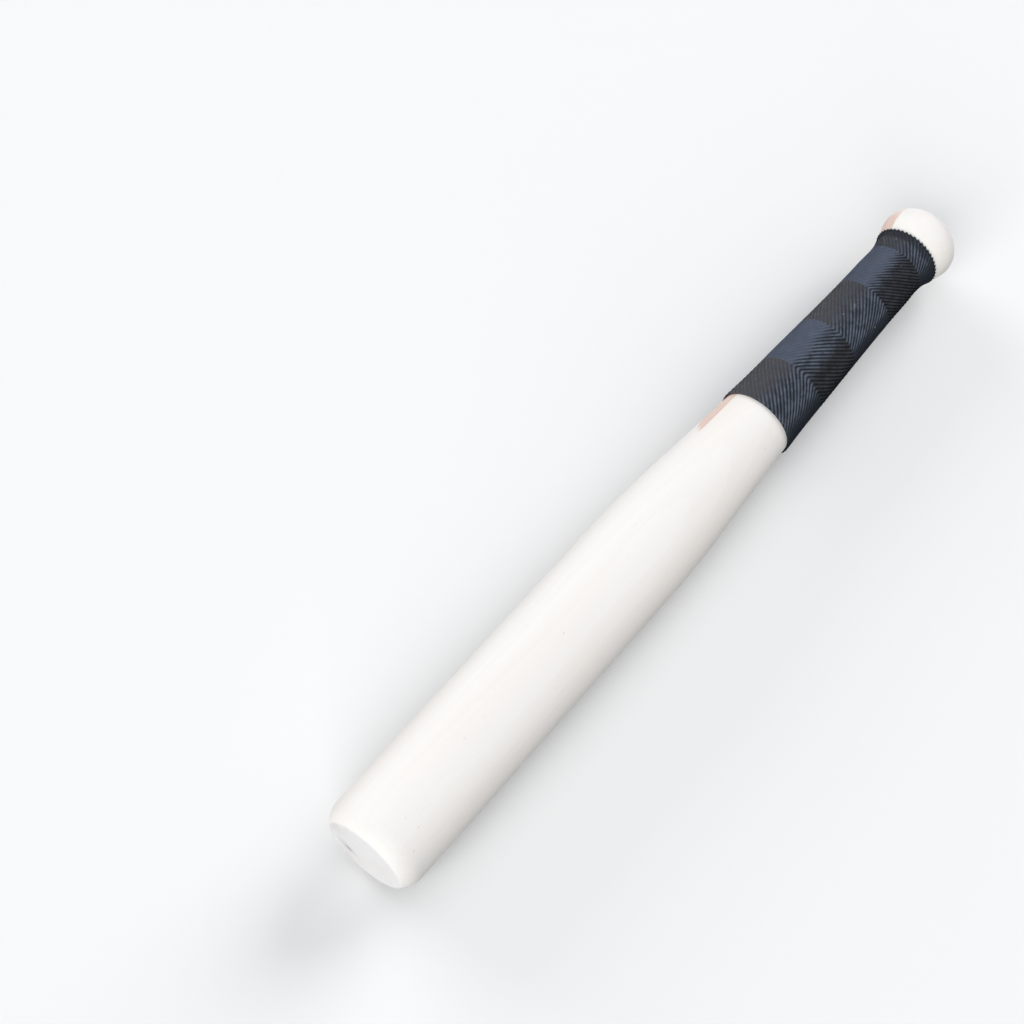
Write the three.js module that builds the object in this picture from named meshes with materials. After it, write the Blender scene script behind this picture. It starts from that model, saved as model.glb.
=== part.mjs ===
// A rounders bat, in millimetres: one piece of pale wood turned to shape, a black rubber sleeve
// with herringbone ribs over its handle, and the double-sided tape that beds the sleeve.
// It lies along X on the plane z = 0, with its flat barrel end towards -X and its knob towards +X.
import * as THREE from 'three';

const { degToRad } = THREE.MathUtils;

// Turned bat, stretch by stretch from the flat barrel end to the tip of the knob: the length of
// each, and the radius that it reaches
const barrelLength = 195;
const barrelRadius = 25.6;
const shoulderLength = 40;
const shoulderRadius = 24;
const taperLength = 55;
const taperRadius = 19.85;
const gripTopLength = 35;
const gripTopRadius = 17.8;
const handleLength = 83;
const waistRadius = 15.1;
const neckLength = 23;
const neckRadius = 17.25;
const flareLength = 11.3;
const knobRadius = 20.75;
const knobEndLength = 14.7;

// How steeply two of those radii are passed, and the rounded edge of the flat end
const gripTopLean = degToRad(-1.7);
const neckLean = degToRad(26.5);
const endEdgeWidth = 4.8;
const endEdgeRadius = 13.3;

// Tape wrapped round the handle, and the slip that it keeps to the wood and to the rubber. It is
// set back from the sleeve's ends, where the sleeve's lips close on the wood with the same slip.
const tapeThickness = 0.2;
const tapeSlip = 0.1;
const tapeSetback = 3;
const tapeEndRoom = 0.4;

// Rubber sleeve, which ends at the neck. Its last ribs run on as small teeth.
const sleeveLength = 134.5;
const toothLength = 0.6;
const rubberThickness = 0.55;
const ribHeight = 0.3;
const ribCount = 46;

// Herringbone bands: where each ends as a share of the sleeve, and how many ribs' width its
// ribs sweep round the bat. The sweeps add up to a whole number, so both rims meet the bore alike.
const bandEndShares = [0.215, 0.455, 0.7, 0.92, 1];
const bandSweeps = [-10, 11, -10.5, 12.5, -4];
const sweepPerRing = 1.25;

// Fineness of the round surfaces
const turnedSides = 48;
const stepsPerCurve = 5;

// Places along the bat, measured from the flat barrel end
const shoulderAlong = barrelLength + shoulderLength;
const taperAlong = shoulderAlong + taperLength;
const gripTopAlong = taperAlong + gripTopLength;
const waistAlong = gripTopAlong + handleLength;
const neckAlong = waistAlong + neckLength;
const knobAlong = neckAlong + flareLength;
const batLength = knobAlong + knobEndLength;
const sleeveStart = neckAlong - sleeveLength;

// Half a side's turn puts one flat of the turned surface straight down, and the bat rests on it.
const halfSide = Math.PI / turnedSides;
const axisHeight = Math.max(barrelRadius, knobRadius) * Math.cos(halfSide);

// Extends the outline to a radius and a place along the bat, leaving and arriving at two leans.
// A lean is the angle between the surface and the bat's axis.
function easeTo(outline, radius, along, leanOut, leanIn) {
  const from = outline.currentPoint.clone();
  const reach = (along - from.y) / 3;
  outline.bezierCurveTo(
    from.x + reach * Math.tan(leanOut),
    from.y + reach,
    radius - reach * Math.tan(leanIn),
    along - reach,
    radius,
    along,
  );
}

// The turned outline, as points of radius (x) and place along the bat (y)
function turnedOutline() {
  const edgeCentreRadius = barrelRadius - endEdgeRadius;
  const edgeRise = endEdgeRadius - endEdgeWidth;
  const edgeLength = Math.sqrt(endEdgeRadius ** 2 - edgeRise ** 2);
  const edgeStart = Math.atan2(-edgeLength, edgeRise);
  const taperLean = Math.atan2(taperRadius - shoulderRadius, taperLength);
  const outline = new THREE.Path();
  outline.moveTo(0, 0);
  outline.lineTo(barrelRadius - endEdgeWidth, 0);
  outline.absarc(edgeCentreRadius, edgeLength, endEdgeRadius, edgeStart, 0, false);
  outline.lineTo(barrelRadius, barrelLength);
  easeTo(outline, shoulderRadius, shoulderAlong, 0, taperLean);
  outline.lineTo(taperRadius, taperAlong);
  easeTo(outline, gripTopRadius, gripTopAlong, taperLean, gripTopLean);
  easeTo(outline, waistRadius, waistAlong, gripTopLean, 0);
  easeTo(outline, neckRadius, neckAlong, 0, neckLean);
  easeTo(outline, knobRadius, knobAlong, neckLean, 0);
  outline.absellipse(0, knobAlong, knobRadius, knobEndLength, 0, Math.PI / 2, false, 0);
  const points = outline.getPoints(stepsPerCurve);
  points.at(-1).x = 0;
  return points;
}

const outline = turnedOutline();

// The wood's radius at a place along the bat, on the same straight steps as its surface
function woodRadius(along) {
  const next = outline.findIndex((point) => point.y >= along);
  const [low, high] = [outline[next - 1], outline[next]];
  return THREE.MathUtils.mapLinear(along, low.y, high.y, low.x, high.x);
}

// The places between two ends where the wood's surface bends, with the ends themselves
function stations(start, end) {
  const between = outline.map((point) => point.y).filter((along) => along > start && along < end);
  return [start, ...between, end];
}

function batBody() {
  return new THREE.LatheGeometry(outline, turnedSides, halfSide);
}

// A thin ring that follows the handle, with its own thickness everywhere
function gripTape() {
  const places = stations(sleeveStart + tapeSetback, neckAlong - tapeSetback);
  const inside = places.map((along) => new THREE.Vector2(woodRadius(along) + tapeSlip, along));
  const outside = inside.map((point) => new THREE.Vector2(point.x + tapeThickness, point.y));
  const profile = [inside[0], ...outside, ...inside.reverse()];
  return new THREE.LatheGeometry(profile, turnedSides, halfSide);
}

// Rings of the ribbed surface: a place along the bat, and how far the ribs have swept there
function ribRings() {
  const rings = [{ along: sleeveStart, sweep: 0 }];
  bandSweeps.forEach((bandSweep, band) => {
    const first = rings.at(-1);
    const bandEnd = THREE.MathUtils.lerp(sleeveStart, neckAlong, bandEndShares[band]);
    const steps = Math.ceil(Math.abs(bandSweep) / sweepPerRing);
    for (let step = 1; step <= steps; step += 1) {
      rings.push({
        along: THREE.MathUtils.lerp(first.along, bandEnd, step / steps),
        sweep: first.sweep + (bandSweep * step) / steps,
      });
    }
  });
  return rings;
}

// The sleeve: crests and valleys turn by turn on the outside, a bore with room for the tape and
// a lip at each end, and two rims
function gripSleeve() {
  const ribTurn = (2 * Math.PI) / ribCount;
  const boreSlip = tapeThickness + 2 * tapeSlip;
  const lipLength = tapeSetback - tapeEndRoom;
  const vertices = [];
  const faces = [];

  function addVertex(radius, turn, along) {
    vertices.push(radius * Math.sin(turn), along, radius * Math.cos(turn));
    return vertices.length / 3 - 1;
  }

  function ribRing({ along, sweep }, tooth) {
    const ring = [];
    for (let rib = 0; rib < ribCount; rib += 1) {
      const crestAlong = along + tooth;
      const valleyRadius = woodRadius(along) + boreSlip + rubberThickness;
      const crestRadius = woodRadius(crestAlong) + boreSlip + rubberThickness + ribHeight;
      ring.push(addVertex(crestRadius, (rib + sweep) * ribTurn, crestAlong));
      ring.push(addVertex(valleyRadius, (rib + 0.5 + sweep) * ribTurn, along));
    }
    return ring;
  }

  // The bore's flats, not its corners, keep the slip to the wood.
  function boreRings(start, end, slip) {
    return stations(start, end).map((along) => {
      const radius = (woodRadius(along) + slip) / Math.cos(ribTurn / 2);
      return Array.from({ length: ribCount }, (_, rib) => addVertex(radius, rib * ribTurn, along));
    });
  }

  function joinRings(low, high) {
    low.forEach((corner, place) => {
      const next = (place + 1) % low.length;
      faces.push(corner, low[next], high[next], corner, high[next], high[place]);
    });
  }

  // Closes the rubber between the ribbed surface and the bore, crest by crest.
  function joinRim(ribs, bore, facesStart) {
    bore.forEach((corner, rib) => {
      const crest = ribs[2 * rib];
      const valley = ribs[2 * rib + 1];
      const nextCrest = ribs[(2 * rib + 2) % ribs.length];
      const nextCorner = bore[(rib + 1) % bore.length];
      const triangles = [
        [crest, corner, valley],
        [corner, nextCorner, valley],
        [valley, nextCorner, nextCrest],
      ];
      triangles.forEach(([a, b, c]) => faces.push(...(facesStart ? [a, b, c] : [a, c, b])));
    });
  }

  const rings = ribRings();
  const outside = rings.map((ring) => ribRing(ring, ring === rings.at(-1) ? toothLength : 0));
  const bore = [
    ...boreRings(sleeveStart, sleeveStart + lipLength, tapeSlip),
    ...boreRings(sleeveStart + lipLength, neckAlong - lipLength, boreSlip),
    ...boreRings(neckAlong - lipLength, neckAlong, tapeSlip),
  ];
  outside.slice(1).forEach((ring, index) => joinRings(outside[index], ring));
  bore.slice(1).forEach((ring, index) => joinRings(ring, bore[index]));

  // The last ring starts where the ribs' sweep has taken it, so it is read from the bore's first rib.
  const sweptRibs = THREE.MathUtils.euclideanModulo(Math.round(rings.at(-1).sweep), ribCount);
  const lastRing = outside.at(-1);
  const shift = lastRing.length - 2 * sweptRibs;
  const lastFromFirstRib = [...lastRing.slice(shift), ...lastRing.slice(0, shift)];
  joinRim(outside[0], bore[0], true);
  joinRim(lastFromFirstRib, bore.at(-1), false);

  const geometry = new THREE.BufferGeometry();
  geometry.setAttribute('position', new THREE.Float32BufferAttribute(vertices, 3));
  geometry.setIndex(faces);
  geometry.computeVertexNormals();
  return geometry;
}

function piece(name, geometry, color, roughness) {
  const material = new THREE.MeshStandardMaterial({ color, roughness, metalness: 0 });
  const mesh = new THREE.Mesh(geometry, material);
  mesh.name = name;
  return mesh;
}

// Every piece is made round the Y axis, and the group lays the bat down along X.
const bat = new THREE.Group();
bat.add(
  piece('bat_body', batBody(), 0xf1ebe1, 0.55),
  piece('grip_tape', gripTape(), 0xd9d4c4, 0.7),
  piece('grip_sleeve', gripSleeve(), 0x26272c, 0.75),
);
bat.rotation.z = -Math.PI / 2;
bat.position.set(-batLength / 2, 0, axisHeight);

const part = new THREE.Group();
part.add(bat);

export default part;
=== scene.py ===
# Rounders bat: turned pale wood, with a ribbed black rubber sleeve over its handle. In metres.
import math
from bisect import bisect

import bmesh
import bpy
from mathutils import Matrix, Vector
from mathutils.geometry import interpolate_bezier


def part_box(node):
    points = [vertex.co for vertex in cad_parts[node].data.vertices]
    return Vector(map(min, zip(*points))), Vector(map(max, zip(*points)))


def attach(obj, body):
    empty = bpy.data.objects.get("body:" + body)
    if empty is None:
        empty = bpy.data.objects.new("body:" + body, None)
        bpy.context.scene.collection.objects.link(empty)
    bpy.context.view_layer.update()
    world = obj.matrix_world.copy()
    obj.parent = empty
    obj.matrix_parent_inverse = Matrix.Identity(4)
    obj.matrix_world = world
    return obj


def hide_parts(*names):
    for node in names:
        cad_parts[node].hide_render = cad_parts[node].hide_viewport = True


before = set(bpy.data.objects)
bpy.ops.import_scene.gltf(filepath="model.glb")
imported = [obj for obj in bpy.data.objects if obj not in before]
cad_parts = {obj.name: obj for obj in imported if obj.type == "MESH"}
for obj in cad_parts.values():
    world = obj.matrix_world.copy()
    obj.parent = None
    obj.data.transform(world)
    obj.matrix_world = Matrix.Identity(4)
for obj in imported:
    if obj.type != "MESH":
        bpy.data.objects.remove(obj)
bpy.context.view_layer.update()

# Turned bat. One billet of pale, close-grained wood, turned between centres and sanded smooth:
# a flat barrel end with a rounded edge, a parallel barrel, a straight taper down to the handle,
# and a ball knob. It lies along X, with the barrel's end at the frame's low end.
barrel_length = 0.195
barrel_radius = 0.0256
shoulder_length = 0.040
shoulder_radius = 0.024
taper_length = 0.055
taper_radius = 0.01985
grip_top_length = 0.035
grip_top_radius = 0.0178
grip_top_lean = math.radians(-1.7)
handle_length = 0.083
waist_radius = 0.0151
neck_length = 0.023
neck_radius = 0.01725
neck_lean = math.radians(26.5)
flare_length = 0.0113
knob_radius = 0.02075
knob_end_length = 0.0147
end_edge_width = 0.0048
end_edge_radius = 0.0133
end_crease_softness = 0.0012
neck_place = sum((barrel_length, shoulder_length, taper_length, grip_top_length,
                  handle_length, neck_length))

# How finely its outline is drawn, and the round surface that is spun from it
points_per_curve = 20
points_per_crease = 9
steps_per_edge = 10
steps_per_knob_end = 20
round_sectors = 16
steps_per_sector = 12
merge_distance = 1e-6

wood_low, wood_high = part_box("bat_body")
axis_height = (wood_low.z + wood_high.z) / 2
# The frame's bat has flat sides and rests on one of them. The round one is drawn in to that height.
inside_share = axis_height / barrel_radius


def eased(start, end, lean_out, lean_in):
    """Points of (place, radius) on a fair curve that leaves and arrives at two leans."""
    reach = (end.x - start.x) / 3
    leave = start + Vector((reach, reach * math.tan(lean_out)))
    arrive = end - Vector((reach, reach * math.tan(lean_in)))
    curve = interpolate_bezier(start, leave, arrive, end, points_per_curve)
    return [Vector(point[:2]) for point in curve[1:]]


def turned_outline():
    """The wood's outline as points of place along the bat, from its flat end, and radius."""
    flat_radius = barrel_radius - end_edge_width
    edge_rise = end_edge_radius - end_edge_width
    edge_length = math.sqrt(end_edge_radius**2 - edge_rise**2)
    edge_start = math.atan2(edge_length, edge_rise)

    def on_edge(turn):
        radius = barrel_radius - end_edge_radius + end_edge_radius * math.cos(turn)
        return Vector((edge_length - end_edge_radius * math.sin(turn), radius))

    # The crease between the flat end and its rounded edge is itself sanded soft.
    crease = Vector((0, flat_radius))
    crease_start = Vector((0, flat_radius - end_crease_softness))
    crease_end_turn = edge_start - end_crease_softness / end_edge_radius
    crease_end = on_edge(crease_end_turn)
    handles = (crease_start.lerp(crease, 2 / 3), crease_end.lerp(crease, 2 / 3))
    softened = interpolate_bezier(crease_start, *handles, crease_end, points_per_crease)

    outline = [Vector((0, 0)), Vector((0, crease_start.y / 2))]
    outline += [Vector(point[:2]) for point in softened]
    outline += [on_edge(crease_end_turn * (1 - step / steps_per_edge))
                for step in range(1, steps_per_edge + 1)]
    outline += [Vector((place, barrel_radius)) for place in (barrel_length / 2, barrel_length)]
    taper_lean = math.atan2(taper_radius - shoulder_radius, taper_length)
    shoulder = Vector((barrel_length + shoulder_length, shoulder_radius))
    outline += eased(outline[-1], shoulder, 0, taper_lean)
    outline.append(Vector((shoulder.x + taper_length, taper_radius)))
    grip_top = Vector((outline[-1].x + grip_top_length, grip_top_radius))
    outline += eased(outline[-1], grip_top, taper_lean, grip_top_lean)
    waist = Vector((grip_top.x + handle_length, waist_radius))
    outline += eased(grip_top, waist, grip_top_lean, 0)
    neck = Vector((waist.x + neck_length, neck_radius))
    outline += eased(waist, neck, 0, neck_lean)
    knob = Vector((neck.x + flare_length, knob_radius))
    outline += eased(neck, knob, neck_lean, 0)
    for step in range(1, steps_per_knob_end + 1):
        turn = math.pi / 2 * step / steps_per_knob_end
        place = knob.x + knob_end_length * math.sin(turn)
        outline.append(Vector((place, knob_radius * math.cos(turn))))
    return outline


wood_outline = turned_outline()
wood_places = [point.x for point in wood_outline]


def wood_radius(place):
    """The wood's radius at a place along the bat, on the straight steps of its outline."""
    after = bisect(wood_places, place)
    low, high = wood_outline[after - 1], wood_outline[after]
    return low.lerp(high, (place - low.x) / (high.x - low.x)).y


def spun(outline, sectors, steps, closed=False):
    """A bmesh of an outline of (place, radius) points, turned round the bat's axis.
    One sector is spun in a few steps and then repeated, which is far quicker than a single spin."""
    mesh = bmesh.new()
    points = [(wood_low.x + place, 0, axis_height + inside_share * radius) for place, radius in outline]
    verts = [mesh.verts.new(point) for point in points]
    pairs = list(zip(verts, verts[1:]))
    if closed:
        pairs.append((verts[-1], verts[0]))
    edges = [mesh.edges.new(pair) for pair in pairs]
    round_axis = {"cent": (0, 0, axis_height), "axis": (1, 0, 0)}
    sector = 2 * math.pi / sectors
    bmesh.ops.spin(mesh, geom=verts + edges, angle=sector, steps=steps, **round_axis)
    made = mesh.verts[:] + mesh.edges[:] + mesh.faces[:]
    bmesh.ops.spin(mesh, geom=made, angle=2 * math.pi - sector, steps=sectors - 1,
                   use_duplicate=True, **round_axis)
    bmesh.ops.remove_doubles(mesh, verts=mesh.verts, dist=merge_distance)
    bmesh.ops.recalc_face_normals(mesh, faces=mesh.faces)
    return mesh


def finished(mesh, name, material, node):
    """Makes a bmesh into a smooth piece that rides on the bat and stands for its CAD node."""
    for face in mesh.faces:
        face.smooth = True
    data = bpy.data.meshes.new(name)
    mesh.to_mesh(data)
    mesh.free()
    piece = bpy.data.objects.new(name, data)
    bpy.context.scene.collection.objects.link(piece)
    data.materials.append(material)
    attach(piece, "root")
    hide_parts(node)


def shader(name):
    """A new material with its node tree and its shader."""
    material = bpy.data.materials.new(name)
    material.use_nodes = True
    tree = material.node_tree
    return material, tree, tree.nodes["Principled BSDF"]


def node(tree, kind, inputs, **settings):
    """Adds a shader node. Each input, by name or number, is given a value or linked to a socket."""
    made = tree.nodes.new("ShaderNode" + kind)
    for name, value in settings.items():
        setattr(made, name, value)
    for name, value in inputs.items():
        if isinstance(value, bpy.types.NodeSocket):
            tree.links.new(value, made.inputs[name])
        else:
            made.inputs[name].default_value = value
    return made


def calc(tree, operation, *values):
    """One step of arithmetic on numbers of the shader."""
    return node(tree, "Math", dict(enumerate(values)), operation=operation).outputs[0]


def product(tree, first, *others):
    """Several numbers, multiplied with each other."""
    for other in others:
        first = calc(tree, "MULTIPLY", first, other)
    return first


def between(tree, share, low, high):
    """A number that goes evenly from low to high as the share goes from 0 to 1."""
    return calc(tree, "MULTIPLY_ADD", share, high - low, low)


def fade(tree, value, start, end):
    """0 before start, 1 past end and smooth between them."""
    inputs = {"Value": value, "From Min": start, "From Max": end}
    made = node(tree, "MapRange", inputs, interpolation_type="SMOOTHSTEP")
    return made.outputs["Result"]


def tint(tree, share, plain, tinted, way="MIX"):
    """Goes from one colour to another by a share. 6, 7 and 2 are the Mix node's colour sockets."""
    mixed = node(tree, "Mix", {0: share, 6: plain, 7: tinted}, data_type="RGBA", blend_type=way)
    return mixed.outputs[2]


def stained(tree, share, plain, stain):
    """Multiplies a colour by a stain, by a share."""
    return tint(tree, share, plain, stain, "MULTIPLY")


def from_end(tree, scale=(1, 1, 1), shift=(0, 0, 0)):
    """Coordinates from the middle of the bat's flat end, along, across and up, then scaled."""
    place = node(tree, "TexCoord", {}).outputs["Object"]
    middle = {"Vector": place, "Location": (-wood_low.x, 0, -axis_height)}
    centred = node(tree, "Mapping", middle).outputs[0]
    return node(tree, "Mapping", {"Vector": centred, "Scale": scale, "Location": shift}).outputs[0]


def along_grain(tree, stretch, shift=(0, 0, 0)):
    """The same coordinates, drawn out along the bat so that a pattern follows the grain."""
    return from_end(tree, (1 / stretch, 1, 1), shift)


def reach_along(tree, place, way):
    """How far a place reaches along a way of unit length."""
    return node(tree, "VectorMath", {0: place, 1: way}, operation="DOT_PRODUCT").outputs["Value"]


def noise(tree, place, size, detail, roughness=0.5):
    """Soft, uneven patches of about a real size, from 0 to 1."""
    inputs = {"Vector": place, "Scale": 1 / size, "Detail": detail, "Roughness": roughness}
    return node(tree, "TexNoise", inputs).outputs["Fac"]


def bump(tree, height, distance, below=None):
    """A surface normal raised by a height from 0 to 1, at a real distance, on top of another."""
    inputs = {"Height": height, "Distance": distance, "Strength": 1.0}
    if below:
        inputs["Normal"] = below
    return node(tree, "Bump", inputs).outputs[0]


def spot(tree, centre, reach, lean=0):
    """1 in the middle of an ellipsoid and 0 at its reach. It leans about the bat's axis."""
    inputs = {"Vector": from_end(tree), "Location": centre, "Scale": reach, "Rotation": (lean, 0, 0)}
    inside = node(tree, "Mapping", inputs, vector_type="TEXTURE").outputs[0]
    distance = node(tree, "VectorMath", {0: inside}, operation="LENGTH").outputs["Value"]
    return fade(tree, distance, 1, 0.25)


def on_wood(place, degrees):
    """A point of the wood's surface, at an angle from the top towards +Y."""
    radius = inside_share * wood_radius(place)
    turn = math.radians(degrees)
    return (place, radius * math.sin(turn), radius * math.cos(turn))


# The wood's colour, and the stains that it is multiplied by
wood_colour = (0.889, 0.872, 0.850, 1)
ring_stain = (0.92, 0.89, 0.85, 1)
blush_stain = (0.988, 0.962, 0.948, 1)
fibre_stain = (0.94, 0.92, 0.89, 1)
pore_stain = (0.84, 0.79, 0.73, 1)
pale_heart_stain = (0.90, 0.74, 0.68, 1)
deep_heart_stain = (0.86, 0.66, 0.60, 1)
inner_line_stain = (0.92, 0.85, 0.82, 1)
knob_end_stain = (0.978, 0.972, 0.992, 1)
speck_stain = (0.82, 0.79, 0.79, 1)
end_grain_stain = (0.965, 0.985, 1.03, 1)
soil_stain = (0.89, 0.885, 0.88, 1)

# The tree's pith, across and up from the bat's axis
pith_across = 0.017
pith_up = -0.054

# Heartwood: the way that its side faces, and how far out that way its edge and its inner line lie.
# Then where it starts along the bat, how much further along that is for each metre lower down,
# where it turns paler on the knob, and the heights at which it fades in from below.
heart_way = (0, 0.977, -0.213)
heart_edge = (0.0087, 0.0100)
inner_line_edge = (0.0110, 0.0100)
heart_start = (0.2840, 0.2885)
heart_slant = 1.13
heart_paling = (0.438, 0.446)
heart_bottom = (-0.018, -0.003)

# Specks of dirt: place along the bat, degrees from the top towards +Y, half length and strength
speck_width_share = 0.7
wood_specks = [
    (0.0114, -52, 0.0007, 1.0),
    (0.0201, -38, 0.0009, 0.6),
    (0.0187, -22, 0.0011, 0.3),
    (0.0065, -45, 0.0010, 0.3),
    (0.0640, -13, 0.0013, 0.4),
    (0.1332, -15.6, 0.0009, 0.8),
    (0.2800, -53, 0.0010, 0.7),
    (0.2730, -78, 0.0009, 0.4),
]

# The flat end: the depths between which end grain shows, and its dark flaw. The flaw has a halo and
# a core, each with its reach along, across and up, and its stain.
end_grain_depths = (0.0005, 0.0001)
flaw_centre = (0, 0.0097, -0.0061)
flaw_lean = math.radians(26.6)
flaw_layers = [
    ((0.01, 0.0088, 0.0040), (0.89, 0.885, 0.885, 1)),
    ((0.01, 0.0036, 0.0017), (0.67, 0.61, 0.57, 1)),
]


def wood_material():
    material, tree, surface = shader("turned_wood")
    along, across, up = node(tree, "SeparateXYZ", {0: from_end(tree)}).outputs
    end_face = fade(tree, along, *end_grain_depths)

    # Growth rings about a pith that lies off to one side: faint bands along the bat, arcs on its end
    rings = node(tree, "TexWave", {"Vector": along_grain(tree, 9, (0, -pith_across, -pith_up)),
                                   "Scale": 120, "Distortion": 5.5, "Detail": 3,
                                   "Detail Scale": 0.5, "Detail Roughness": 0.6},
                 wave_type="RINGS", rings_direction="X", wave_profile="SAW").outputs["Fac"]
    ring_share = product(tree, rings, between(tree, end_face, 0.16, 0.36))
    colour = stained(tree, ring_share, wood_colour, ring_stain)

    # Slow changes between cream and faint pink, fine fibres, and pores as short dark dashes
    blush = fade(tree, noise(tree, along_grain(tree, 7), size=0.022, detail=1), 0.4, 0.75)
    colour = stained(tree, blush, colour, blush_stain)
    fibres = noise(tree, along_grain(tree, 60), size=0.0009, detail=3, roughness=0.6)
    colour = stained(tree, product(tree, fibres, 0.35), colour, fibre_stain)
    pores = fade(tree, noise(tree, along_grain(tree, 14), size=0.00035, detail=1), 0.66, 0.78)
    colour = stained(tree, product(tree, pores, 0.3), colour, pore_stain)

    # Heartwood: a pinkish streak with a darker inner line. It starts on a slant at the taper's end,
    # runs on to the knob, where it is paler, and fades out on the underside.
    wobble = between(tree, noise(tree, along_grain(tree, 12), size=0.004, detail=2), -0.0008, 0.0008)
    streaks = noise(tree, along_grain(tree, 30, (0, 0.3, 0)), size=0.0022, detail=3, roughness=0.6)
    depth = calc(tree, "ADD", reach_along(tree, from_end(tree), heart_way), wobble)
    slant = calc(tree, "ADD", calc(tree, "MULTIPLY_ADD", up, heart_slant, along), wobble)
    slant = calc(tree, "ADD", slant, between(tree, streaks, 0, 0.003))
    ragged = calc(tree, "ADD", up, between(tree, streaks, -0.008, 0.008))
    paler = between(tree, fade(tree, along, *heart_paling), 1, 0.4)
    heart = product(tree, fade(tree, depth, *heart_edge), fade(tree, slant, *heart_start),
                    fade(tree, ragged, *heart_bottom), paler)
    heart_stain = tint(tree, fade(tree, streaks, 0.3, 0.7), pale_heart_stain, deep_heart_stain)
    colour = stained(tree, heart, colour, heart_stain)
    inner_line = product(tree, heart, fade(tree, depth, *inner_line_edge), 0.7)
    colour = stained(tree, inner_line, colour, inner_line_stain)

    # The knob's far end is half end grain, and a little cooler.
    knob_end = fade(tree, along, neck_place + 0.006, neck_place + 0.020)
    colour = stained(tree, knob_end, colour, knob_end_stain)

    # Specks of dirt in the pores, and the greyer end grain with its soiled side and a dark flaw
    for place, degrees, reach, strength in wood_specks:
        width = speck_width_share * reach
        speck = spot(tree, on_wood(place, degrees), (reach, width, width))
        colour = stained(tree, product(tree, speck, strength), colour, speck_stain)
    colour = stained(tree, end_face, colour, end_grain_stain)
    grime = noise(tree, from_end(tree, shift=(0, 0.1, 0)), size=0.006, detail=3)
    soiled = product(tree, fade(tree, across, -0.004, 0.018), fade(tree, grime, 0.25, 0.7), end_face)
    colour = stained(tree, soiled, colour, soil_stain)
    for reach, flaw_stain in flaw_layers:
        flaw = product(tree, spot(tree, flaw_centre, reach, flaw_lean), end_face)
        colour = stained(tree, flaw, colour, flaw_stain)

    # Sanded smooth: hair-fine fibres along the grain under a thin satin sealer, duller on end grain
    sanding = noise(tree, from_end(tree, (1, 0.03, 0.03)), size=0.0007, detail=2)
    grain = bump(tree, fibres, distance=0.00002)
    normal = bump(tree, sanding, distance=0.000006, below=grain)
    dull = calc(tree, "ADD", between(tree, fibres, 0.44, 0.60), between(tree, end_face, 0, 0.25))
    tree.links.new(colour, surface.inputs["Base Color"])
    tree.links.new(normal, surface.inputs["Normal"])
    tree.links.new(dull, surface.inputs["Roughness"])
    surface.inputs["IOR"].default_value = 1.45
    surface.inputs["Specular IOR Level"].default_value = 0.25
    return material


bat_mesh = spun(wood_outline, round_sectors, steps_per_sector)
finished(bat_mesh, "turned_bat", wood_material(), "bat_body")

# Bedding tape. Double-sided cloth tape, wound once round the handle, that holds the sleeve in
# place. It is hidden between the wood and the rubber, and keeps its CAD shape.
weave_pitch = 0.0005
thread_gap_colour = (0.60, 0.56, 0.46, 1)
thread_colour = (0.71, 0.67, 0.57, 1)
worn_stain = (0.8, 0.78, 0.74, 1)


def tape_material():
    material, tree, surface = shader("cloth_tape")
    along, across, up = node(tree, "SeparateXYZ", {0: from_end(tree)}).outputs
    around = product(tree, calc(tree, "ARCTAN2", across, up), waist_radius)
    threads = [calc(tree, "SINE", product(tree, way, 2 * math.pi / weave_pitch))
               for way in (along, around)]
    weave = between(tree, product(tree, *threads), 0.5, 1)
    patchy = noise(tree, from_end(tree), size=0.006, detail=3)
    colour = tint(tree, weave, thread_gap_colour, thread_colour)
    colour = stained(tree, product(tree, patchy, 0.3), colour, worn_stain)
    tree.links.new(colour, surface.inputs["Base Color"])
    tree.links.new(bump(tree, weave, distance=0.00005), surface.inputs["Normal"])
    surface.inputs["Roughness"].default_value = 0.85
    return material


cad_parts["grip_tape"].material_slots[0].material = tape_material()

# Grip sleeve. Black moulded rubber with fine herringbone ribs, stretched over the handle. It is
# cut clean towards the barrel, and up on the knob's flare the ribs run out as small teeth.
sleeve_length = 0.1345
rubber_thickness = 0.00055
rib_height = 0.0003
rib_count = 46
tooth_length = 0.0006
tooth_root = 0.0015
rim_length = 0.003
rim_flatness = 0.5
cut_softness = 0.00012
sleeve_start = neck_place - sleeve_length
rib_turn = 2 * math.pi / rib_count

# A rib's round profile: its level and its steepness between valley and crest, and how much its
# flanks fall away from the crest
rib_level = 0.4
rib_steepness = 0.75
rib_roundness = 0.12

# Herringbone bands: where each ends, as a share of the sleeve, and how many ribs' width its ribs
# sweep round the bat
band_end_shares = (0.215, 0.455, 0.7, 0.92, 1)
band_sweeps = (-10, 11, -10.5, 12.5, -4)
band_starts = [sleeve_start + share * sleeve_length for share in (0, *band_end_shares[:-1])]
band_ends = [*band_starts[1:], neck_place]
band_leans = [sweep / (end - start) for sweep, start, end in zip(band_sweeps, band_starts, band_ends)]

# How far to each side of a band's end the ribs turn back in a curve, and the lean, in ribs' width
# along each metre, that counts as full
corner_reaches = (0.0014, 0.0007, 0.0008, 0.0007)
corners = list(zip(band_ends, corner_reaches, band_leans, band_leans[1:]))
full_lean = 280

# Room for the tape in the bore, which closes on the wood past the tape's ends
tape_room = 0.0004
lip_room = 0.00003
lip_length = 0.0023

# How finely the skin is cut: across each rib, along the bands, and through the corners, which even
# rings stay clear of by a little more than the corner's reach
steps_per_rib = 12
rings_per_rib = 2
steps_per_corner = 6
corner_clearance = 1.1


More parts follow.
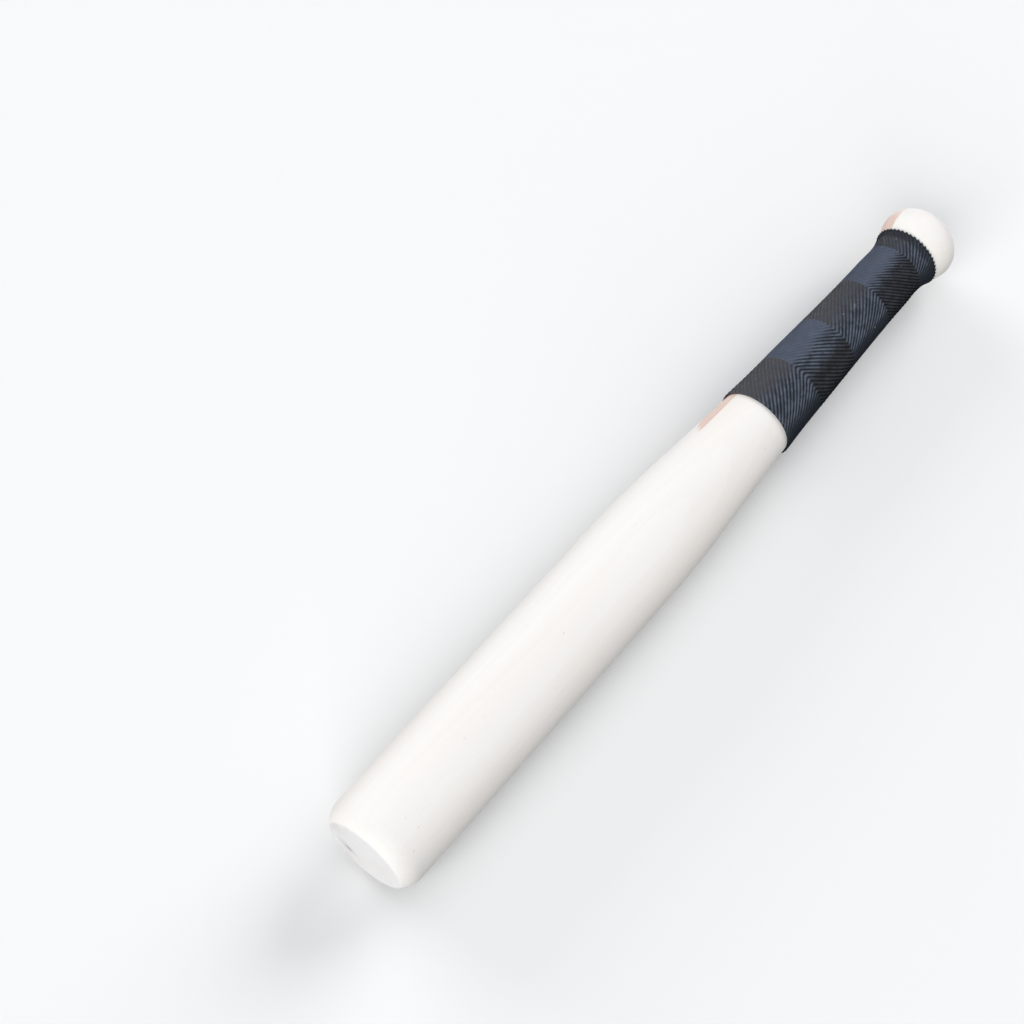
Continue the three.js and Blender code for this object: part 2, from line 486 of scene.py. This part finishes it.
def ring_places():
    """Places of the ribbed skin's rings: even ones within each band, and closer ones at corners."""
    places = []
    for start, end, sweep in zip(band_starts, band_ends, band_sweeps):
        steps = math.ceil(abs(sweep) * rings_per_rib)
        places += [start + (end - start) * step / steps for step in range(1, steps)]
    for corner, reach, _, _ in corners:
        places = [place for place in places if abs(place - corner) > corner_clearance * reach]
        places += [corner + reach * (2 * step / steps_per_corner - 1)
                   for step in range(steps_per_corner + 1)]
    return [*sorted(places), neck_place]


def ribs_at(place):
    """How many ribs' width the ribs have swept at a place, and their lean there, in parts of full."""
    swept = sum(lean * (min(place, end) - start)
                for start, end, lean in zip(band_starts, band_ends, band_leans) if place > start)
    here = band_leans[min(bisect(band_ends, place), len(band_leans) - 1)]
    for corner, reach, low, high in corners:
        past = place - corner
        if abs(past) < reach:
            # The lean goes evenly from one band's to the next one's, which cuts the corner.
            swept += (high - low) * (reach - abs(past)) ** 2 / (4 * reach)
            here = low + (high - low) * (past + reach) / (2 * reach)
    return swept, max(-1, min(1, here / full_lean))


def sleeve_outline():
    """The rubber cut along its length: ribbed skin out to the knob, and the bore back."""
    skin = tape_room + rubber_thickness
    edge = [(sleeve_start, wood_radius(sleeve_start) + skin - cut_softness)]
    outside = [(place, wood_radius(place) + skin)
               for place in (sleeve_start + cut_softness, *ring_places())]
    lip_end, far_lip_start = sleeve_start + lip_length, neck_place - lip_length
    tape_start, tape_end = lip_end + tape_room, far_lip_start - tape_room
    bends = [place for place in wood_places if sleeve_start < place < neck_place]
    on_lips = [place for place in (sleeve_start, lip_end, far_lip_start, neck_place, *bends)
               if not lip_end < place < far_lip_start]
    on_tape = [tape_start, *[place for place in bends if tape_start < place < tape_end], tape_end]
    bore = [(place, wood_radius(place) + lip_room) for place in on_lips]
    bore += [(place, wood_radius(place) + tape_room) for place in on_tape]
    return edge + outside + sorted(bore, reverse=True)


def rib_relief(phase):
    """How high the rib stands at a phase from its crest, 0 in the valley and 1 on the crest."""
    wave = math.cos(2 * math.pi * phase)
    flat_topped = min(max(rib_level + rib_steepness * wave, 0), 1)
    return flat_topped * (1 - rib_roundness * (1 - wave))


def emboss(mesh):
    """Twists the skin into herringbone ribs, raises them, and draws their ends out into teeth."""
    relief = mesh.verts.layers.float.new("rib")
    lean = mesh.verts.layers.float.new("lean")
    for vert in mesh.verts:
        place = vert.co.x - wood_low.x
        rise = Vector((vert.co.y, vert.co.z - axis_height))
        height = rise.length / inside_share - wood_radius(place)
        turn = math.atan2(-rise.x, rise.y)
        phase = turn / rib_turn - round(turn / rib_turn)
        skin_share = 1 if height > tape_room + rubber_thickness / 2 else 0
        rim_share = 1 - rim_flatness * max(0, 1 - (neck_place - place) / rim_length)
        vert[relief] = skin_share * rib_relief(phase) * rim_share
        swept, vert[lean] = ribs_at(place)
        if not skin_share:
            swept = sum(band_sweeps) * (place - sleeve_start) / sleeve_length
        root = max(0, 1 - (neck_place - place) / tooth_root)
        tooth = tooth_length * root * max(0, 1 - 2 * abs(phase))
        turn += (swept + tooth * band_leans[-1]) * rib_turn
        radius = inside_share * (wood_radius(place + tooth) + height + rib_height * vert[relief])
        vert.co = (vert.co.x + tooth, -radius * math.sin(turn), axis_height + radius * math.cos(turn))


# The rubber's colours, the colours of what lies on it, and the stains that they are multiplied by
# The crests' lighter blue-grey colour is painted sheen, and the valleys' darker colour is painted
# shade.
valley_shade_colour = (0.033, 0.039, 0.050, 1)
crest_sheen_colour = (0.112, 0.130, 0.171, 1)
scuff_stain = (0.58, 0.57, 0.56, 1)
# The bloom is painted sheen, and the dust colours are dust with painted light, on the sleeve's lit
# side.
pale_bloom_sheen_colour = (0.100, 0.118, 0.160, 1)
deep_bloom_sheen_colour = (0.085, 0.100, 0.138, 1)
lit_grey_dust_colour = (0.074, 0.079, 0.094, 1)
lit_brown_dust_colour = (0.076, 0.071, 0.072, 1)
lit_knob_dust_stain = (0.76, 0.80, 0.82, 1)
smudge_colour = (0.183, 0.175, 0.172, 1)
# Painted shade on the side away from the lamps and on the underside
shade_side_colour = (0.034, 0.032, 0.031, 1)
shade_side_stain = (0.60, 0.58, 0.55, 1)
shaded_colour = (0.020, 0.024, 0.031, 1)
underside_shade_stain = (0.62, 0.62, 0.62, 1)
# The rim's darker colour is painted shade.
rim_shade_colour = (0.022, 0.026, 0.031, 1)
powder_colour = (0.20, 0.21, 0.23, 1)
smear_colour = (0.25, 0.265, 0.29, 1)
lint_colour = (0.30, 0.31, 0.33, 1)

# The way that the sleeve's lit side faces, where its bloom and dust carry painted sheen, and a way
# square to it, round the far side
lit_side_turn = math.radians(45)
lit_side_way = (0, math.sin(lit_side_turn), math.cos(lit_side_turn))
behind_way = (0, math.sin(lit_side_turn), -math.cos(lit_side_turn))

# A smear, and lint caught on the rubber: place along the bat and degrees from the top towards +Y
smear_place = (0.3760, -8)
smear_reach = (0.0046, 0.0020, 0.0020)
lint_places = [(0.3682, -3), (0.3774, -9), (0.3786, -65), (0.4139, -22), (0.4263, 20), (0.3327, 31)]
lint_reach = (0.0006, 0.0006, 0.0006)


def on_sleeve(place, degrees):
    """A point on the ribs' crests, at an angle from the top towards +Y."""
    radius = wood_radius(place) + tape_room + rubber_thickness + rib_height
    turn = math.radians(degrees)
    return (place, radius * math.sin(turn), radius * math.cos(turn))


def rubber_material():
    material, tree, surface = shader("ribbed_rubber")
    along = node(tree, "SeparateXYZ", {0: from_end(tree)}).outputs["X"]
    rib = node(tree, "Attribute", {}, attribute_name="rib").outputs["Fac"]
    lean = node(tree, "Attribute", {}, attribute_name="lean").outputs["Fac"]
    # Crests are coloured lighter as painted sheen, and valleys darker as painted shade.
    crest = fade(tree, rib, 0, 0.7)
    colour = tint(tree, crest, valley_shade_colour, crest_sheen_colour)
    scuffs = noise(tree, from_end(tree, shift=(0.1, 0, 0)), size=0.0038, detail=6, roughness=0.75)
    colour = stained(tree, fade(tree, scuffs, 0.4, 0.6), colour, scuff_stain)

    # On the side that faces the lamps, a blue-grey bloom is painted sheen. Where the ribs climb the
    # other way, brown dust is lightened there by painted light, which also flattens the ribs' shading.
    # Both have an uneven edge, and thin out round the far side.
    outward = node(tree, "VectorMath", {0: from_end(tree, (0, 1, 1))}, operation="NORMALIZE").outputs[0]
    facing = reach_along(tree, outward, lit_side_way)
    behind = reach_along(tree, outward, behind_way)
    kept = between(tree, fade(tree, behind, 0.05, 0.6), 1, 0.15)
    climbing = fade(tree, lean, -0.5, 0.5)
    falling = fade(tree, lean, 0.5, -0.5)
    mottle = noise(tree, from_end(tree), size=0.009, detail=4, roughness=0.6)
    patchy = calc(tree, "ADD", facing, between(tree, mottle, -0.215, 0.215))
    bloom_and_sheen = product(tree, fade(tree, patchy, 0.58, 0.79), kept, climbing)
    bloom_sheen_colour = tint(tree, fade(tree, mottle, 0.35, 0.65), pale_bloom_sheen_colour, deep_bloom_sheen_colour)
    colour = tint(tree, product(tree, bloom_and_sheen, 0.88), colour, bloom_sheen_colour)
    lit_brown_dust = product(tree, fade(tree, patchy, 0.42, 0.96), kept, falling)
    grey_brown_mottle = noise(tree, from_end(tree, shift=(0.2, 0, 0)), size=0.0035, detail=4, roughness=0.7)
    grey_brown_mottle = fade(tree, grey_brown_mottle, 0.35, 0.65)
    lit_dust_colour = tint(tree, grey_brown_mottle, lit_grey_dust_colour, lit_brown_dust_colour)
    nearer_knob = fade(tree, along, 0.34, 0.43)
    lit_dust_colour = stained(tree, nearer_knob, lit_dust_colour, lit_knob_dust_stain)
    colour = tint(tree, product(tree, lit_brown_dust, 0.9), colour, lit_dust_colour)

    # Small pale smudges lie in the brown dust, most of all on the crests and towards the far side.
    smudges = noise(tree, from_end(tree, shift=(0.3, 0, 0)), size=0.0014, detail=4, roughness=0.7)
    smudges = product(tree, fade(tree, smudges, 0.50, 0.58), fade(tree, behind, -0.6, 0.1), lit_brown_dust,
                      grey_brown_mottle, between(tree, crest, 0.4, 0.8))
    colour = tint(tree, smudges, colour, smudge_colour)

    # Painted shade: the rubber is darker on the side away from the lamps, and darkest on the underside.
    painted_shade_side = calc(tree, "ADD", facing, between(tree, nearer_knob, 0, -0.3))
    painted_shade_side = product(tree, fade(tree, painted_shade_side, 0.47, 0.035), climbing)
    shaded_side_colour = stained(tree, 1, tint(tree, 0.4, colour, shade_side_colour), shade_side_stain)
    colour = tint(tree, painted_shade_side, colour, shaded_side_colour)
    shaded = product(tree, fade(tree, facing, -0.115, -0.404), falling, 0.8)
    colour = tint(tree, shaded, colour, shaded_colour)
    colour = stained(tree, fade(tree, facing, -0.35, -0.7), colour, underside_shade_stain)

    # Painted shade darkens the plain rim at the knob. Fine grey powder, a chalky smear and lint lie on
    # top.
    rim_shade = fade(tree, along, neck_place - 0.0046, neck_place - 0.0026)
    colour = tint(tree, product(tree, rim_shade, 0.7), colour, rim_shade_colour)
    powder = fade(tree, noise(tree, from_end(tree), size=0.00025, detail=1), 0.68, 0.80)
    powder = product(tree, powder, between(tree, lit_brown_dust, 0.25, 0.55))
    colour = tint(tree, powder, colour, powder_colour)
    chalky = fade(tree, noise(tree, from_end(tree), size=0.0007, detail=2), 0.42, 0.62)
    smear = product(tree, spot(tree, on_sleeve(*smear_place), smear_reach), chalky, rib, 0.9)
    colour = tint(tree, smear, colour, smear_colour)
    for lint_place in lint_places:
        lint = spot(tree, on_sleeve(*lint_place), lint_reach)
        colour = tint(tree, product(tree, lint, 0.7), colour, lint_colour)

    # Finely pitted and dull, a little less so on the crests, where it is handled
    pitted = noise(tree, from_end(tree), size=0.0004, detail=3, roughness=0.6)
    dull = calc(tree, "ADD", between(tree, rib, 0.60, 0.48), between(tree, mottle, 0, 0.1))
    tree.links.new(colour, surface.inputs["Base Color"])
    tree.links.new(bump(tree, pitted, distance=0.00003), surface.inputs["Normal"])
    tree.links.new(dull, surface.inputs["Roughness"])
    surface.inputs["Specular IOR Level"].default_value = 0.0
    return material


sleeve_mesh = spun(sleeve_outline(), rib_count, steps_per_rib, closed=True)
emboss(sleeve_mesh)
finished(sleeve_mesh, "ribbed_sleeve", rubber_material(), "grip_sleeve")

# Floor, light and camera. The bat lies on a plain, matt floor that looks white under a white sky,
# and little light comes back off it. Of three broad lamps, one stands beyond the barrel's end, one
# beyond the knob, and a lower one on the bat's far side.
floor_size = 24.0
floor_seen = (0.86, 0.86, 0.86, 1)
floor_bounce = (0.12, 0.12, 0.105, 1)
sky_seen = (0.95, 0.95, 0.95, 1)
sky_light = (0.26, 0.27, 0.285, 1)


def seen_share(tree):
    """1 for what the camera sees, also by reflection or through glass, and 0 for light that bounces."""
    path = node(tree, "LightPath", {}).outputs
    straight = calc(tree, "MAXIMUM", path["Is Camera Ray"], path["Is Glossy Ray"])
    return calc(tree, "MAXIMUM", straight, path["Is Transmission Ray"])


floor_mesh = bmesh.new()
bmesh.ops.create_grid(floor_mesh, x_segments=1, y_segments=1, size=floor_size / 2)
floor_data = bpy.data.meshes.new("floor")
floor_mesh.to_mesh(floor_data)
floor_mesh.free()
floor = bpy.data.objects.new("floor", floor_data)
bpy.context.scene.collection.objects.link(floor)
floor_material, floor_tree, floor_surface = shader("pale_floor")
floor_colour = tint(floor_tree, seen_share(floor_tree), floor_bounce, floor_seen)
floor_tree.links.new(floor_colour, floor_surface.inputs["Base Color"])
floor_surface.inputs["Roughness"].default_value = 0.9
floor_surface.inputs["Specular IOR Level"].default_value = 0.0
floor_data.materials.append(floor_material)

sky = bpy.data.worlds.new("sky")
bpy.context.scene.world = sky
sky.use_nodes = True
sky_tree = sky.node_tree
sky_colour = tint(sky_tree, seen_share(sky_tree), sky_light, sky_seen)
sky_tree.links.new(sky_colour, sky_tree.nodes["Background"].inputs["Color"])


def towards(turn, rise):
    """The way that points at a turn from +X towards +Y, and at a rise, both in degrees."""
    turn, rise = math.radians(turn), math.radians(rise)
    return Vector((math.cos(turn) * math.cos(rise), math.sin(turn) * math.cos(rise), math.sin(rise)))


def lamp(name, turn, rise, breadth, share):
    """A broad, far lamp that gives a share of plain light, at a turn and a rise."""
    data = bpy.data.lights.new(name, "SUN")
    data.angle = math.radians(breadth)
    data.energy = share * math.pi
    made = bpy.data.objects.new(name, data)
    bpy.context.scene.collection.objects.link(made)
    made.rotation_euler = towards(turn, rise).to_track_quat("Z", "Y").to_euler()


lamp("front_lamp", turn=198, rise=26, breadth=60, share=0.96)
lamp("left_lamp", turn=80, rise=16, breadth=40, share=0.48)
lamp("back_lamp", turn=-5, rise=26, breadth=40, share=0.64)

# The camera looks along the bat from beyond its barrel, and steeply down on it.
camera_turn = 219.27
camera_rise = 59.4
camera_distance = 1.026
camera_aim = Vector((-0.0491, 0.0617, 0.0256))
camera_data = bpy.data.cameras.new("camera")
camera_data.sensor_width = 36.0
camera_data.lens = 73.83
camera = bpy.data.objects.new("camera", camera_data)
bpy.context.scene.collection.objects.link(camera)
camera_back = towards(camera_turn, camera_rise)
camera.location = camera_aim + camera_distance * camera_back
camera.rotation_euler = camera_back.to_track_quat("Z", "Y").to_euler()
bpy.context.scene.camera = camera
bpy.context.scene.view_settings.view_transform = "Standard"
